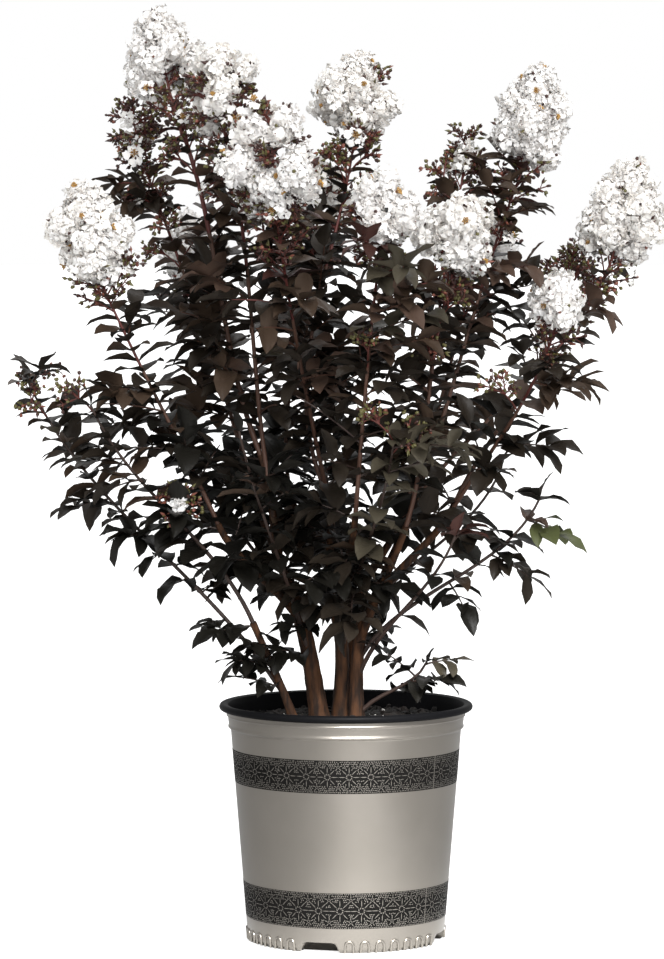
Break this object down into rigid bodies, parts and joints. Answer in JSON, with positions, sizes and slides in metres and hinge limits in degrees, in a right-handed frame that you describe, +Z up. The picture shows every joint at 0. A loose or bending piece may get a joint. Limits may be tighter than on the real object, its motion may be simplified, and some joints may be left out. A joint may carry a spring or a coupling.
{
  "type": "crape myrtle shrub in a nursery pot",
  "caption": "Flowering crape myrtle shrub with near-black leaves and white flower panicles, growing on several stems from a round nursery pot of potting mix.",
  "frame": {"origin": "middle of the pot's flat underside", "axes": "+Z up along the pot's axis, +X to the plant's right and -Y to its front"},
  "size_m": [0.7603, 0.6397, 1.0471],
  "materials": {
    "pot": "satin",
    "soil": "matte",
    "bark": "matte",
    "foliage": "satin",
    "blossom": "matte"
  },
  "bodies": {
    "root": {"pot": "pot", "potting_mix": "soil", "bough_back_left": "bark", "bough_back_right": "bark", "bough_far_left": "bark", "bough_far_right": "bark", "bough_front": "bark", "bough_front_right": "bark", "bough_left": "bark", "bough_middle": "bark", "bough_right": "bark", "bough_top_left": "bark", "stem_back": "bark", "stem_left": "bark", "stem_middle": "bark", "stem_outer_left": "bark", "stem_right": "bark", "foliage_back_far_left": "foliage", "foliage_back_far_right": "foliage", "foliage_back_left": "foliage", "foliage_back_middle": "foliage", "foliage_back_right": "foliage", "foliage_far_left": "foliage", "foliage_far_right": "foliage", "foliage_front_left": "foliage", "foliage_front_middle": "foliage", "foliage_front_right": "foliage", "foliage_inner_right": "foliage", "foliage_low_back": "foliage", "foliage_low_back_left": "foliage", "foliage_low_back_right": "foliage", "foliage_low_far_left": "foliage", "foliage_low_front": "foliage", "foliage_low_front_left": "foliage", "foliage_low_front_right": "foliage", "foliage_low_left": "foliage", "foliage_low_right": "foliage", "foliage_right_front": "foliage", "foliage_sprout": "foliage", "foliage_top_left": "foliage", "foliage_top_middle": "foliage", "foliage_top_right": "foliage", "foliage_upper_left": "foliage", "panicle_back_far_left": "blossom", "panicle_back_far_right": "blossom", "panicle_back_left": "blossom", "panicle_back_middle": "blossom", "panicle_back_right": "blossom", "panicle_far_left": "blossom", "panicle_far_right": "blossom", "panicle_front_left": "blossom", "panicle_front_middle": "blossom", "panicle_front_right": "blossom", "panicle_inner_right": "blossom", "panicle_right_front": "blossom", "panicle_top_left": "blossom", "panicle_top_middle": "blossom", "panicle_top_right": "blossom", "panicle_upper_left": "blossom"}
  },
  "joints": []
}
